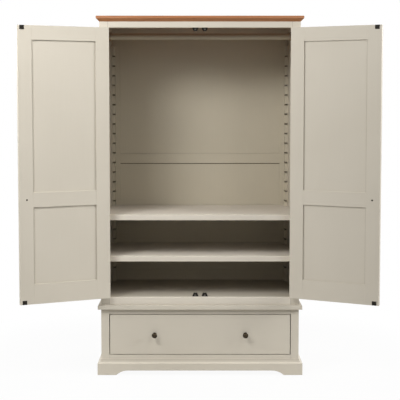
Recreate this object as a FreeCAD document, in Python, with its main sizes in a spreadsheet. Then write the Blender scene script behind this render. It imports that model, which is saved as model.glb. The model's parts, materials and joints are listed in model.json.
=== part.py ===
"""Double wardrobe: a painted two-door cupboard with an oak top, on a base with one long drawer.

Millimetres. +Z is up, +Y is towards the wall, and the origin lies on the floor at the middle of
the back. Both doors stand open, as they are usually shown, and the drawer is shut.
"""
import FreeCAD, Part
import math
import os
import re
import Sketcher

# Counts
TAILS = 5
KNUCKLES = 3
NOTCHES_BELOW_UPPER_SHELF = 6
NOTCHES_BELOW_LOWER_SHELF = 2

# How far off a level an edge may lie and still be taken as on it
LEVEL_TOLERANCE = 0.01

# Driving dimensions
SIZES = {
    # Cupboard carcass and its face frame
    "carcass_width": 1080,
    "carcass_depth": 560,
    "side_thickness": 20,
    "stile_width": 44,
    "stile_thickness": 22,
    "bottom_rail_height": 40,
    "door_opening_height": 1462,
    "top_rail_height": 32,
    "top_rail_depth": 60,
    "floor_thickness": 18,
    "dado_depth": 6,
    # Oak top
    "top_thickness": 30,
    "top_overhang": 17,
    "top_bevel_height": 17,
    "top_edge_radius": 3,
    # Frame-and-panel joinery of the doors and the back
    "panel_thickness": 9,
    "groove_depth": 10,
    "panel_float": 2,
    "joint_clearance": 0.2,
    # Back
    "back_thickness": 22,
    "back_stile_width": 46,
    "back_top_rail_height": 60,
    "back_mid_rail_height": 56,
    "back_mid_rail_rise": 740,
    "back_bottom_rail_height": 100,
    # Doors
    "door_thickness": 22,
    "door_gap": 1.5,
    "meeting_gap": 3,
    "door_end_gap": 2,
    "door_stile_width": 75,
    "door_top_rail_height": 75,
    "door_mid_rail_height": 78,
    "door_mid_rail_rise": 512,
    "door_bottom_rail_height": 106,
    "left_open_angle": 157,
    "right_open_angle": 155,
    # Butt hinges
    "hinge_height": 80,
    "hinge_inset": 61,
    "middle_hinge_rise": 537,
    "leaf_width": 18,
    "leaf_thickness": 1.5,
    "barrel_radius": 4,
    "knuckle_gap": 0.3,
    "pin_radius": 2,
    "pin_fit": 0.05,
    "pin_proud": 4.5,
    # Strike plates and magnetic catches
    "plate_width": 24,
    "plate_height": 22,
    "plate_thickness": 1,
    "catch_offset": 25.5,
    "catch_gap": 0.6,
    "catch_width": 33,
    "catch_crown_width": 18,
    "catch_height": 16,
    "catch_depth": 30,
    "magnet_width": 10,
    "magnet_height": 7,
    "magnet_depth": 20,
    "magnet_proud": 0.3,
    "magnet_rise": 3,
    # Notched battens, shelves and their bars
    "batten_thickness": 19,
    "batten_width": 50,
    "batten_top_gap": 105,
    "notch_height": 10,
    "notch_depth": 15,
    "notch_pitch": 56.75,
    "first_notch_rise": 77.5,
    "last_notch_margin": 40,
    "shelf_thickness": 22,
    "shelf_setback": 26,
    "shelf_clearance": 1,
    "lipping_height": 30,
    "lipping_depth": 18,
    # Hanging rail and its sockets
    "rail_radius": 17,
    "rail_drop": 63,
    "rail_setback": 265,
    "rail_fit": 0.3,
    "socket_radius": 24,
    "socket_depth": 16,
    "socket_web": 4,
    # Base, waist moulding and plinth
    "foot_block_height": 30,
    "foot_block_width": 50,
    "drawer_opening_height": 225,
    "base_top_rail_height": 28,
    "base_back_thickness": 9,
    "waist_height": 25,
    "waist_projection": 17,
    "waist_nose": 18,
    "waist_land": 10,
    "plinth_height": 62,
    "plinth_thickness": 20,
    "foot_width": 102,
    "arch_height": 25,
    "arch_sweep": 64,
    "cove_height": 24,
    "cove_nose": 1.5,
    "cove_land": 2,
    "sill_reveal": 22,
    # Drawer and its runners
    "drawer_gap": 3.5,
    "drawer_front_thickness": 22,
    "drawer_side_thickness": 12,
    "drawer_side_lift": 2.5,
    "drawer_side_drop": 5.5,
    "drawer_length": 480,
    "drawer_back_inset": 12,
    "drawer_back_thickness": 12,
    "drawer_back_drop": 12,
    "drawer_bottom_thickness": 6,
    "drawer_bottom_rise": 12,
    "drawer_groove_depth": 5,
    "tail_length": 16,
    "tail_flare": 4,
    "tail_gap": 10,
    "running_gap": 0.3,
    "guide_gap": 1,
    "runner_ledge": 36,
    "runner_thickness": 20,
    "guide_height": 20,
    "kicker_gap": 3,
    "kicker_width": 40,
    # Knobs
    "knob_radius": 15,
    "knob_length": 38,
    "knob_rim": 4,
    "knob_crown": 6,
    "knob_button_radius": 8,
    "knob_stem_radius": 8.5,
    "drawer_knob_offset": 248,
    "door_knob_inset": 41,
    "door_knob_rise": 552,
}

# Faces and levels that several pieces share, worked out from the driving dimensions
PLACES = {
    "front": "-carcass_depth",
    "half_width": "carcass_width / 2",
    "inner_half": "half_width - side_thickness",
    "opening_half": "half_width - stile_width",
    "stile_back": "front + stile_thickness",
    "back_face": "-back_thickness",
    "sill_z": "plinth_height + cove_height + sill_reveal",
    "lintel_z": "sill_z + drawer_opening_height",
    "waist_z": "lintel_z + base_top_rail_height",
    "cupboard_z": "waist_z + waist_height",
    "floor_z": "cupboard_z + bottom_rail_height",
    "head_z": "floor_z + door_opening_height",
    "top_z": "head_z + top_rail_height",
    # Back frame
    "back_opening": "inner_half - back_stile_width",
    "back_groove_near": "back_face + (back_thickness - panel_thickness) / 2",
    "back_groove_far": "back_groove_near + panel_thickness",
    # A door about its own pin: x from the pin to the meeting edge, y from the pin inwards
    "pin_half": "opening_half - door_gap / 2",
    "pin_y": "front - pin_proud",
    "door_edge": "door_gap / 2",
    "door_meet": "pin_half - meeting_gap / 2",
    "door_inside": "pin_proud + door_thickness",
    "door_z": "floor_z + door_end_gap",
    "door_top": "head_z - door_end_gap",
    "door_groove_near": "pin_proud + (door_thickness - panel_thickness) / 2",
    "door_groove_far": "door_groove_near + panel_thickness",
    # Catches
    "catch_face": "front + door_thickness + plate_thickness + catch_gap",
    # Battens and shelves
    "batten_face": "inner_half - batten_thickness",
    "notch_end": "batten_face + notch_depth",
    "notch_z": "floor_z + first_notch_rise",
    "batten_length": "top_z - batten_top_gap - floor_z",
    # Hanging rail
    "rail_y": "front + rail_setback",
    "rail_z": "top_z - rail_drop",
    # Drawer
    "drawer_half": "opening_half - drawer_gap",
    "drawer_inner_half": "drawer_half - drawer_side_thickness",
    "drawer_z": "sill_z + drawer_gap",
    "drawer_top": "lintel_z - drawer_gap",
    "drawer_inside": "front + drawer_front_thickness",
    "drawer_end": "drawer_inside + drawer_length",
    "drawer_side_z": "drawer_z + drawer_side_lift",
    "drawer_side_top": "drawer_top - drawer_side_drop",
    "drawer_bottom_z": "drawer_side_z + drawer_bottom_rise",
    "drawer_back_y": "drawer_end - drawer_back_inset - drawer_back_thickness",
    "tail_pitch": f"(drawer_side_top - drawer_side_z) / {TAILS}",
    "runner_z": "drawer_side_z - running_gap",
    "runner_front": "drawer_inside + running_gap",
    "knob_z": "(sill_z + lintel_z) / 2",
}

doc = FreeCAD.newDocument("Wardrobe")
sheet = doc.addObject("Spreadsheet::Sheet", "Sizes")
for row, (size_name, size) in enumerate(SIZES.items(), 1):
    sheet.set(f"A{row}", size_name)
    sheet.set(f"B{row}", str(size))
    sheet.setAlias(f"B{row}", size_name)
doc.recompute()

NODES = []


# Expressions

def bound(text):
    """The expression with every place written out and every size pointing at its cell."""
    def cell(match):
        word = match[0]
        if word in PLACES:
            return f"({bound(PLACES[word])})"
        return f"Sizes.{word}" if word in SIZES else word

    return re.sub(r"[a-z]\w*", cell, text)


def bind(part, prop, text):
    part.setExpression(prop, bound(text))


def measure(text):
    return float(sheet.evalExpression(bound(text)))


def locate(part, x="0", y="0", z="0"):
    for axis, text in zip("xyz", (x, y, z)):
        bind(part, f"Placement.Base.{axis}", text)
    return part


# Primitives and booleans

def board(name, x, y, z, hand=1):
    """A straight piece between a low and a high face on each axis; hand -1 mirrors it in x."""
    low, high = x
    if hand < 0:
        low, high = f"-({high})", f"-({low})"
    part = doc.addObject("Part::Box", name)
    for prop, (near, far) in zip(("Length", "Width", "Height"), ((low, high), y, z)):
        bind(part, prop, f"({far}) - ({near})")
    return locate(part, low, y[0], z[0])


def rod(name, radius, length, x, y, z, axis="z"):
    """A round bar that starts at a point and runs along +X, +Y or +Z."""
    part = doc.addObject("Part::Cylinder", name)
    bind(part, "Radius", radius)
    bind(part, "Height", length)
    along = {"x": FreeCAD.Vector(1, 0, 0), "y": FreeCAD.Vector(0, 1, 0), "z": FreeCAD.Vector(0, 0, 1)}
    part.Placement = FreeCAD.Placement(
        FreeCAD.Vector(), FreeCAD.Rotation(FreeCAD.Vector(0, 0, 1), along[axis]))
    return locate(part, x, y, z)


def fuse(name, *parts):
    whole = doc.addObject("Part::MultiFuse", name)
    whole.Shapes = list(parts)
    whole.Refine = True
    return whole


def cut(name, base, *tools):
    result = doc.addObject("Part::Cut", name)
    result.Base = base
    result.Tool = tools[0] if len(tools) == 1 else fuse(f"{name}_cuts", *tools)
    result.Refine = True
    return result


def group(name, *parts):
    """Like pieces that share a name, each still a solid of its own."""
    whole = doc.addObject("Part::Compound", name)
    whole.Links = list(parts)
    return whole


def node(part, name):
    part.Label = name
    NODES.append(part)
    return part


# Sketched bodies

def new_body(name):
    return doc.addObject("PartDesign::Body", name)


def origin_feature(body, role):
    return next(feature for feature in body.Origin.OriginFeatures if feature.Role == role)


def outline(body, name, plane, corners, arcs=None, lift="0"):
    """A closed sketch through corners, each a pair of expressions.

    arcs maps a corner to the arc that leaves it: (rule, end), where the arc's centre is "level" or
    "plumb" with its first (0) or last (1) end, so that the arc runs square to that line there.
    """
    sketch = body.newObject("Sketcher::SketchObject", name)
    sketch.AttachmentSupport = [(origin_feature(body, plane), "")]
    sketch.MapMode = "FlatFace"
    bind(sketch, "AttachmentOffset.Base.z", lift)
    arcs = arcs or {}
    points = [FreeCAD.Vector(measure(across), measure(up), 0) for across, up in corners]
    ends = []
    for index, start in enumerate(points):
        stop = points[(index + 1) % len(points)]
        if index in arcs:
            ends.append(add_arc(sketch, start, stop, *arcs[index]))
        else:
            line = sketch.addGeometry(Part.LineSegment(start, stop), False)
            ends.append((line, 1, 2))
    for index, (shape, first, _) in enumerate(ends):
        before, _, last = ends[index - 1]
        sketch.addConstraint(Sketcher.Constraint("Coincident", before, last, shape, first))
        for kind, text, size in zip(("DistanceX", "DistanceY"), corners[index], points[index]):
            number = sketch.addConstraint(Sketcher.Constraint(kind, -1, 1, shape, first, size))
            bind(sketch, f"Constraints[{number}]", text)
    for index, (rule, end) in arcs.items():
        shape, first, last = ends[index]
        kind = "Horizontal" if rule == "level" else "Vertical"
        sketch.addConstraint(Sketcher.Constraint(kind, shape, 3, shape, (first, last)[end]))
    return sketch


def add_arc(sketch, start, stop, rule, end):
    """Adds an arc and returns its number and the numbers of its first and last ends."""
    held, free = (start, stop) if end == 0 else (stop, start)
    span = free - held
    reach = span.Length ** 2 / 2
    if rule == "level":
        centre = held + FreeCAD.Vector(reach / span.x, 0, 0)
    else:
        centre = held + FreeCAD.Vector(0, reach / span.y, 0)
    turn = (start - centre).cross(stop - centre).z
    begin, finish = (start, stop) if turn > 0 else (stop, start)
    angles = [math.atan2(point.y - centre.y, point.x - centre.x) for point in (begin, finish)]
    circle = Part.Circle(centre, FreeCAD.Vector(0, 0, 1), (start - centre).Length)
    number = sketch.addGeometry(Part.ArcOfCircle(circle, *angles), False)
    return (number, 1, 2) if turn > 0 else (number, 2, 1)


def pad(body, sketch, length, symmetric=False, backwards=False):
    feature = body.newObject("PartDesign::Pad", f"{sketch.Name}_pad")
    feature.Profile = sketch
    feature.SideType = "Symmetric" if symmetric else "One side"
    feature.Reversed = backwards
    bind(feature, "Length", length)
    return feature


def pocket_through(body, sketch):
    feature = body.newObject("PartDesign::Pocket", f"{sketch.Name}_pocket")
    feature.Profile = sketch
    feature.SideType = "Symmetric"
    feature.Type = "ThroughAll"
    return feature


def revolve(body, sketch):
    feature = body.newObject("PartDesign::Revolution", f"{sketch.Name}_turned")
    feature.Profile = sketch
    feature.ReferenceAxis = (sketch, ["V_Axis"])
    feature.Angle = 360
    return feature


# Oak top

def oak_top():
    """A slab whose under-edge slopes in to the carcass on the front and both ends."""
    body = new_body("oak_top")
    under = [("-half_width", "front"), ("half_width", "front"), ("half_width", "0"), ("-half_width", "0")]
    reach = "half_width + top_overhang"
    over = [(f"-({reach})", "front - top_overhang"), (reach, "front - top_overhang"),
            (reach, "0"), (f"-({reach})", "0")]
    seat = outline(body, "top_seat", "XY_Plane", under, lift="top_z")
    brow = outline(body, "top_brow", "XY_Plane", over, lift="top_z + top_bevel_height")
    bevel = body.newObject("PartDesign::AdditiveLoft", "top_bevel")
    bevel.Profile = seat
    bevel.Sections = [brow]
    bevel.Ruled = True
    slab = pad(body, brow, "top_thickness - top_bevel_height")
    doc.recompute()
    height = measure("top_z + top_thickness")
    upper = [f"Edge{number}" for number, edge in enumerate(slab.Shape.Edges, 1)
             if edge.BoundBox.ZMin > height - LEVEL_TOLERANCE and edge.BoundBox.YMin < -LEVEL_TOLERANCE]
    soft = body.newObject("PartDesign::Fillet", "top_soft_edge")
    soft.Base = (slab, upper)
    bind(soft, "Radius", "top_edge_radius")
    return node(body, "oak_top")


# Frame-and-panel work shared by the back and the doors

def grooved_stile(name, x, y, z, groove_y, hand, cuts=()):
    """A stile with a panel groove along the edge at the high end of x."""
    blank = board(f"{name}_blank", x, y, z, hand)
    near, far = groove_y
    groove = board(f"{name}_groove", (f"{x[1]} - groove_depth", x[1]),
                   (f"{near} - joint_clearance", f"{far} + joint_clearance"), z, hand)
    return cut(name, blank, groove, *cuts)


def tongued_rail(name, x, y, z, groove_y, hand, grooved_below, grooved_above):
    """A rail with a tongue at each end for the stiles' grooves, itself grooved for the panels."""
    blank = board(f"{name}_blank", x, y, z, hand)
    reach = (f"{x[0]} - groove_depth + joint_clearance", f"{x[1]} + groove_depth - joint_clearance")
    tongue = board(f"{name}_tongue", reach, groove_y, z, hand)
    whole = fuse(f"{name}_whole", blank, tongue)
    slot_y = (f"{groove_y[0]} - joint_clearance", f"{groove_y[1]} + joint_clearance")
    grooves = []
    if grooved_below:
        level = (z[0], f"{z[0]} + groove_depth")
        grooves.append(board(f"{name}_lower_groove", reach, slot_y, level, hand))
    if grooved_above:
        level = (f"{z[1]} - groove_depth", z[1])
        grooves.append(board(f"{name}_upper_groove", reach, slot_y, level, hand))
    return cut(name, whole, *grooves)


def floating_panel(name, x, z, groove_y, hand):
    """A flat panel held in the grooves round an opening, with room to move."""
    hold = "groove_depth - panel_float"
    return board(name, (f"{x[0]} - ({hold})", f"{x[1]} + {hold}"), groove_y,
                 (f"{z[0]} - ({hold})", f"{z[1]} + {hold}"), hand)


# Cupboard carcass

def hinge_levels():
    return {"upper": "door_top - hinge_inset", "middle": "door_z + middle_hinge_rise",
            "lower": "door_z + hinge_inset"}


def hinge_mortises(name, x, y, hand):
    half = "hinge_height / 2 + joint_clearance"
    return [board(f"{name}_{level}_mortise", x, y, (f"{z} - ({half})", f"{z} + {half}"), hand)
            for level, z in hinge_levels().items()]


def cupboard():
    upright = ("cupboard_z", "top_z")
    for side, hand in (("left", -1), ("right", 1)):
        blank = board(f"{side}_side_blank", ("inner_half", "half_width"), ("stile_back", "0"), upright, hand)
        dado = board(f"{side}_side_dado", ("inner_half", "inner_half + dado_depth"),
                     ("stile_back", "back_face"),
                     ("floor_z - floor_thickness - joint_clearance", "floor_z + joint_clearance"), hand)
        node(cut(f"{side}_side_panel", blank, dado), f"{side}_side_panel")

        stile = board(f"{side}_stile_blank", ("opening_half", "half_width"), ("front", "stile_back"),
                      upright, hand)
        mortises = hinge_mortises(f"{side}_stile", ("opening_half", "opening_half + leaf_thickness"),
                                  ("front", "front + leaf_width + joint_clearance"), hand)
        node(cut(f"{side}_front_stile", stile, *mortises), f"{side}_front_stile")

    between = ("-opening_half", "opening_half")
    node(board("front_top_rail", between, ("front", "front + top_rail_depth"), ("head_z", "top_z")),
         "front_top_rail")
    node(board("front_bottom_rail", between, ("front", "stile_back"), ("cupboard_z", "floor_z")),
         "front_bottom_rail")
    reach = "inner_half + dado_depth - joint_clearance"
    node(board("cabinet_floor", (f"-({reach})", reach), ("stile_back", "back_face"),
               ("floor_z - floor_thickness", "floor_z")), "cabinet_floor")


def back():
    depth = ("back_face", "0")
    groove_y = ("back_groove_near", "back_groove_far")
    stiles = [grooved_stile(f"back_{side}_stile", ("-inner_half", "-back_opening"), depth,
                            ("cupboard_z", "top_z"), groove_y, hand)
              for side, hand in (("left", 1), ("right", -1))]
    node(group("back_stiles", *stiles), "back_stiles")

    across = ("-back_opening", "back_opening")
    low_top = "cupboard_z + back_bottom_rail_height"
    mid_low = "cupboard_z + back_mid_rail_rise"
    mid_top = f"{mid_low} + back_mid_rail_height"
    high_low = "top_z - back_top_rail_height"
    levels = {"bottom": ("cupboard_z", low_top, False, True), "mid": (mid_low, mid_top, True, True),
              "top": (high_low, "top_z", True, False)}
    rails = [tongued_rail(f"back_{level}_rail", across, depth, (low, high), groove_y, 1, below, above)
             for level, (low, high, below, above) in levels.items()]
    node(group("back_rails", *rails), "back_rails")

    node(floating_panel("back_lower_panel", across, (low_top, mid_low), groove_y, 1), "back_lower_panel")
    node(floating_panel("back_upper_panel", across, (mid_top, high_low), groove_y, 1), "back_upper_panel")


# Inside the cupboard

def notched_battens():
    """Four uprights, cut across by evenly spaced notches that take the shelf bars."""
    battens = []
    front_y = "stile_back"
    rear_y = "back_face - batten_width"
    for side, hand in (("left", -1), ("right", 1)):
        for place, y in (("front", front_y), ("rear", rear_y)):
            body = new_body(f"{place}_{side}_batten")
            section = [(f"{hand} * {edge}", level) for edge, level in
                       (("batten_face", y), ("inner_half", y), ("inner_half", f"{y} + batten_width"),
                        ("batten_face", f"{y} + batten_width"))]
            stock = outline(body, f"{place}_{side}_batten_section", "XY_Plane", section, lift="floor_z")
            pad(body, stock, "batten_length")
            notch = [(f"{hand} * {edge}", level) for edge, level in
                     (("batten_face", "notch_z"), ("notch_end", "notch_z"),
                      ("notch_end", "notch_z + notch_height"), ("batten_face", "notch_z + notch_height"))]
            opening = outline(body, f"{place}_{side}_notch", "XZ_Plane", notch)
            first = pocket_through(body, opening)
            doc.recompute()
            pattern = body.newObject("PartDesign::LinearPattern", f"{place}_{side}_notches")
            pattern.Originals = [first]
            pattern.Direction = (origin_feature(body, "Z_Axis"), [""])
            run = "batten_length - first_notch_rise - notch_height - last_notch_margin"
            steps = f"floor(({run}) / notch_pitch)"
            bind(pattern, "Occurrences", f"{steps} + 1")
            bind(pattern, "Length", f"{steps} * notch_pitch")
            body.Tip = pattern
            battens.append(body)
    node(group("notched_battens", *battens), "notched_battens")


def shelves():
    bars = []
    lippings = []
    for name, notches in (("upper", NOTCHES_BELOW_UPPER_SHELF), ("lower", NOTCHES_BELOW_LOWER_SHELF)):
        bar_z = f"notch_z + {notches} * notch_pitch"
        bar_top = f"{bar_z} + notch_height - joint_clearance"
        shelf_top = f"{bar_top} + shelf_thickness"
        for side, hand in (("left", -1), ("right", 1)):
            bars.append(board(f"{name}_{side}_bar", ("batten_face", "notch_end - joint_clearance"),
                              ("stile_back + joint_clearance", "back_face - joint_clearance"),
                              (bar_z, bar_top), hand))

        lip_y = "front + shelf_setback"
        shelf_y = f"{lip_y} + lipping_depth"
        rear_y = "back_face - shelf_clearance"
        reach = "inner_half - shelf_clearance"
        neck = "batten_face - shelf_clearance"
        blank = board(f"{name}_shelf_blank", (f"-({reach})", reach), (shelf_y, rear_y), (bar_top, shelf_top))
        corners = []
        for side, hand in (("left", -1), ("right", 1)):
            for end, y in (("front", (shelf_y, "stile_back + batten_width + shelf_clearance")),
                           ("rear", ("back_face - batten_width - shelf_clearance", rear_y))):
                corners.append(board(f"{name}_shelf_{side}_{end}_corner", (neck, reach), y,
                                     (bar_top, shelf_top), hand))
        node(cut(f"{name}_shelf", blank, *corners), f"{name}_shelf")
        lippings.append(board(f"{name}_lipping", (f"-({neck})", neck), (lip_y, shelf_y),
                              (f"{shelf_top} - lipping_height", shelf_top)))
    node(group("shelf_bars", *bars), "shelf_bars")
    node(group("shelf_lippings", *lippings), "shelf_lippings")


def hanging_rail():
    length = "2 * (inner_half - socket_web - joint_clearance)"
    node(rod("hanging_rail", "rail_radius", length, f"-({length}) / 2", "rail_y", "rail_z", "x"),
         "hanging_rail")
    sockets = []
    for side, x, bore_x in (("left", "-inner_half", "socket_web - inner_half"),
                            ("right", "inner_half - socket_depth", "inner_half - socket_depth")):
        boss = rod(f"{side}_socket_boss", "socket_radius", "socket_depth", x, "rail_y", "rail_z", "x")
        bore = rod(f"{side}_socket_bore", "rail_radius + rail_fit", "socket_depth - socket_web",
                   bore_x, "rail_y", "rail_z", "x")
        sockets.append(cut(f"{side}_socket", boss, bore))
    node(group("rail_sockets", *sockets), "rail_sockets")


def catches():
    """A pair of magnetic catches on the floor and another under the top rail, one for each door."""
    housings = []
    magnets = []
    half_base = "catch_width / 2"
    half_crown = "catch_crown_width / 2"
    for side, hand in (("left", -1), ("right", 1)):
        middle = f"{hand} * catch_offset"
        for place, seat, up in (("floor", "floor_z", "1"), ("head", "head_z", "-1")):
            body = new_body(f"{side}_{place}_catch_body")
            profile = [(f"{middle} - {half_base}", seat), (f"{middle} + {half_base}", seat),
                       (f"{middle} + {half_crown}", f"{seat} + {up} * catch_height"),
                       (f"{middle} - {half_crown}", f"{seat} + {up} * catch_height")]
            section = outline(body, f"{side}_{place}_catch_section", "XZ_Plane", profile, lift="-catch_face")
            pad(body, section, "catch_depth", backwards=True)
            rise = "magnet_rise" if up == "1" else "-(magnet_rise + magnet_height)"
            low, high = f"{seat} + {rise}", f"{seat} + {rise} + magnet_height"
            room = "magnet_width / 2 + joint_clearance"
            slot = board(f"{side}_{place}_catch_slot", (f"{middle} - ({room})", f"{middle} + {room}"),
                         ("catch_face", "catch_face + magnet_depth"),
                         (f"{low} - joint_clearance", f"{high} + joint_clearance"))
            housings.append(cut(f"{side}_{place}_catch", body, slot))
            magnets.append(board(f"{side}_{place}_magnet",
                                 (f"{middle} - magnet_width / 2", f"{middle} + magnet_width / 2"),
                                 ("catch_face - magnet_proud", "catch_face + magnet_depth"), (low, high)))
    node(group("catch_housings", *housings), "catch_housings")
    node(group("catch_magnets", *magnets), "catch_magnets")


# Hinges, about a pin at x = 0 and y = 0

def knuckle_span(z, number):
    foot = f"{z} - hinge_height / 2"
    step = f"hinge_height / {KNUCKLES}"
    return (f"{foot} + {number} * {step} + knuckle_gap / 2",
            f"{foot} + {number + 1} * {step} - knuckle_gap / 2")


def hinge_leaf(name, z, hand, first_knuckle):
    """A leaf's plate beside the pin, with every other knuckle of the barrel."""
    plate_x = ("door_edge", "door_edge + leaf_thickness")
    pieces = [board(f"{name}_plate", plate_x, ("pin_proud", "pin_proud + leaf_width"),
                    (f"{z} - hinge_height / 2", f"{z} + hinge_height / 2"), hand)]
    for number in range(first_knuckle, KNUCKLES, 2):
        low, high = knuckle_span(z, number)
        pieces.append(board(f"{name}_strap_{number}", plate_x, ("0", "pin_proud"), (low, high), hand))
        pieces.append(rod(f"{name}_knuckle_{number}", "barrel_radius", f"{high} - ({low})", "0", "0", low))
    return pieces


def frame_leaf(name, z, hand):
    """The fixed leaf, whose outer knuckles hold the pin fast."""
    pin = rod(f"{name}_pin", "pin_radius", "hinge_height - 2 * knuckle_gap", "0", "0",
              f"{z} - hinge_height / 2 + knuckle_gap")
    return fuse(name, pin, *hinge_leaf(name, z, hand, 0))


def door_leaf(name, z, hand):
    """The leaf that swings, with its knuckle bored to run on the pin."""
    bore = rod(f"{name}_bore", "pin_radius + pin_fit", "hinge_height", "0", "0", f"{z} - hinge_height / 2")
    return cut(name, fuse(f"{name}_whole", *hinge_leaf(name, z, hand, 1)), bore)


def frame_hinges():
    leaves = []
    for side, hand in (("left", -1), ("right", 1)):
        for level, z in hinge_levels().items():
            leaf = frame_leaf(f"{side}_{level}_frame_leaf", z, hand)
            leaves.append(locate(leaf, f"{hand} * pin_half", "pin_y"))
    node(group("hinge_frame_leaves", *leaves), "hinge_frame_leaves")


# Knobs

def knob(name, x, y, z):
    """A turned mushroom knob whose stem is on the face at y and which points out of it, along -Y."""
    body = new_body(name)
    rim_top = "knob_length - knob_crown"
    rim_foot = f"{rim_top} - knob_rim"
    profile = [("0", "0"), ("knob_stem_radius", "0"), ("knob_stem_radius", rim_foot),
               ("knob_radius", rim_foot), ("knob_radius", rim_top),
               ("knob_button_radius", "knob_length"), ("0", "knob_length")]
    revolve(body, outline(body, f"{name}_profile", "XZ_Plane", profile))
    body.Placement = FreeCAD.Placement(FreeCAD.Vector(), FreeCAD.Rotation(FreeCAD.Vector(1, 0, 0), 90))
    return locate(body, x, y, z)


# Doors

def door(side, hand, turn):
    """One door, made about its pin and then swung open; hand 1 runs from the pin towards +X."""
    name = f"{side}_door"

    def hang(part, piece):
        part.Placement = FreeCAD.Placement(FreeCAD.Vector(), FreeCAD.Rotation(FreeCAD.Vector(0, 0, 1), 1))
        bind(part, "Placement.Rotation.Angle", turn)
        locate(part, f"{-hand} * pin_half", "pin_y")
        return node(part, f"{name}_{piece}")

    depth = ("pin_proud", "door_inside")
    height = ("door_z", "door_top")
    groove_y = ("door_groove_near", "door_groove_far")
    hinge_inner = "door_edge + door_stile_width"
    meeting_inner = "door_meet - door_stile_width"

    mortises = hinge_mortises(name, ("door_edge", "door_edge + leaf_thickness"),
                              ("pin_proud", "pin_proud + leaf_width + joint_clearance"), hand)
    hang(grooved_stile(f"{name}_hinge_stile", ("door_edge", hinge_inner), depth, height, groove_y, hand,
                       mortises), "hinge_stile")
    hang(grooved_stile(f"{name}_meeting_stile", ("-door_meet", f"-({meeting_inner})"), depth, height,
                       groove_y, -hand), "meeting_stile")

    across = (hinge_inner, meeting_inner)
    low_top = "door_z + door_bottom_rail_height"
    mid_low = "door_z + door_mid_rail_rise"
    mid_top = f"{mid_low} + door_mid_rail_height"
    high_low = "door_top - door_top_rail_height"
    levels = {"bottom": ("door_z", low_top, False, True), "mid": (mid_low, mid_top, True, True),
              "top": (high_low, "door_top", True, False)}
    rails = [tongued_rail(f"{name}_{level}_rail", across, depth, (low, high), groove_y, hand, below, above)
             for level, (low, high, below, above) in levels.items()]
    hang(group(f"{name}_rails", *rails), "rails")
    panels = [floating_panel(f"{name}_lower_panel", across, (low_top, mid_low), groove_y, hand),
              floating_panel(f"{name}_upper_panel", across, (mid_top, high_low), groove_y, hand)]
    hang(group(f"{name}_panels", *panels), "panels")

    knob_x = f"{hand} * (door_meet - door_knob_inset)"
    turned = knob(f"{name}_turned_knob", knob_x, "pin_proud", "door_z + door_knob_rise")
    hang(group(f"{name}_knob", turned), "knob")
    plate_x = ("pin_half - catch_offset - plate_width / 2", "pin_half - catch_offset + plate_width / 2")
    plate_y = ("door_inside", "door_inside + plate_thickness")
    plates = [board(f"{name}_lower_plate", plate_x, plate_y, ("door_z", "door_z + plate_height"), hand),
              board(f"{name}_upper_plate", plate_x, plate_y, ("door_top - plate_height", "door_top"), hand)]
    hang(group(f"{name}_strike_plates", *plates), "strike_plates")
    leaves = [door_leaf(f"{name}_{level}_leaf", z, hand) for level, z in hinge_levels().items()]
    hang(group(f"{name}_hinge_leaves", *leaves), "hinge_leaves")


# Mouldings that run round the front and both ends, mitred at the corners

def moulding_profile(wall, out, foot, projection, nose, land, height):
    """A nose at the foot with a curve from it up to a land; out is -1 or 1, the way it stands off the wall."""
    return [(wall, foot), (f"{wall} + {out} * {projection}", foot),
            (f"{wall} + {out} * {projection}", f"{foot} + {nose}"),
            (f"{wall} + {out} * {land}", f"{foot} + {height}"), (wall, f"{foot} + {height}")]


HOLLOW = {2: ("level", 1)}
ROUND = {2: ("level", 0)}


def mitred_moulding(name, curve, foot, projection, nose, land, height):
    front_body = new_body(f"{name}_front")
    section = outline(front_body, f"{name}_front_section", "YZ_Plane",
                      moulding_profile("front", -1, foot, projection, nose, land, height), curve)
    pad(front_body, section, f"carcass_width + 2 * {projection}", symmetric=True)
    for side, hand in (("left", -1), ("right", 1)):
        waste = [(f"{hand} * half_width", "front"),
                 (f"{hand} * (half_width + {projection})", f"front - {projection}"),
                 (f"{hand} * (half_width + {projection})", "front")]
        pocket_through(front_body, outline(front_body, f"{name}_front_{side}_mitre", "XY_Plane", waste))
    lengths = [front_body]
    for side, hand in (("left", -1), ("right", 1)):
        body = new_body(f"{name}_{side}")
        profile = moulding_profile(f"{hand} * half_width", hand, foot, projection, nose, land, height)
        section = outline(body, f"{name}_{side}_section", "XZ_Plane", profile, curve)
        pad(body, section, f"carcass_depth + {projection}")
        waste = [(f"{hand} * half_width", "front"),
                 (f"{hand} * (half_width + {projection})", f"front - {projection}"),
                 (f"{hand} * half_width", f"front - {projection}")]
        pocket_through(body, outline(body, f"{name}_{side}_mitre", "XY_Plane", waste))
        lengths.append(body)
    node(group(name, *lengths), name)


# Base and plinth

def base():
    upright = ("foot_block_height", "waist_z")
    pairs = {"base_side": (("inner_half", "half_width"), ("stile_back", "0")),
             "base_stile": (("opening_half", "half_width"), ("front", "stile_back"))}
    for name, (x, y) in pairs.items():
        halves = [board(f"{name}_{side}", x, y, upright, hand) for side, hand in (("left", -1), ("right", 1))]
        node(group(f"{name}s", *halves), f"{name}s")
    between = ("-opening_half", "opening_half")
    node(board("base_top_rail", between, ("front", "stile_back"), ("lintel_z", "waist_z")), "base_top_rail")
    node(board("base_bottom_rail", between, ("front", "stile_back"), ("foot_block_height", "sill_z")),
         "base_bottom_rail")
    node(board("base_back_panel", ("-inner_half", "inner_half"), ("-base_back_thickness", "0"),
               ("sill_z", "waist_z")), "base_back_panel")
    node(board("base_top_board", ("-half_width", "half_width"), ("front", "0"), ("waist_z", "cupboard_z")),
         "base_top_board")
    mitred_moulding("waist_moulding", ROUND, "waist_z", "waist_projection", "waist_nose", "waist_land",
                    "waist_height")


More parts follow.
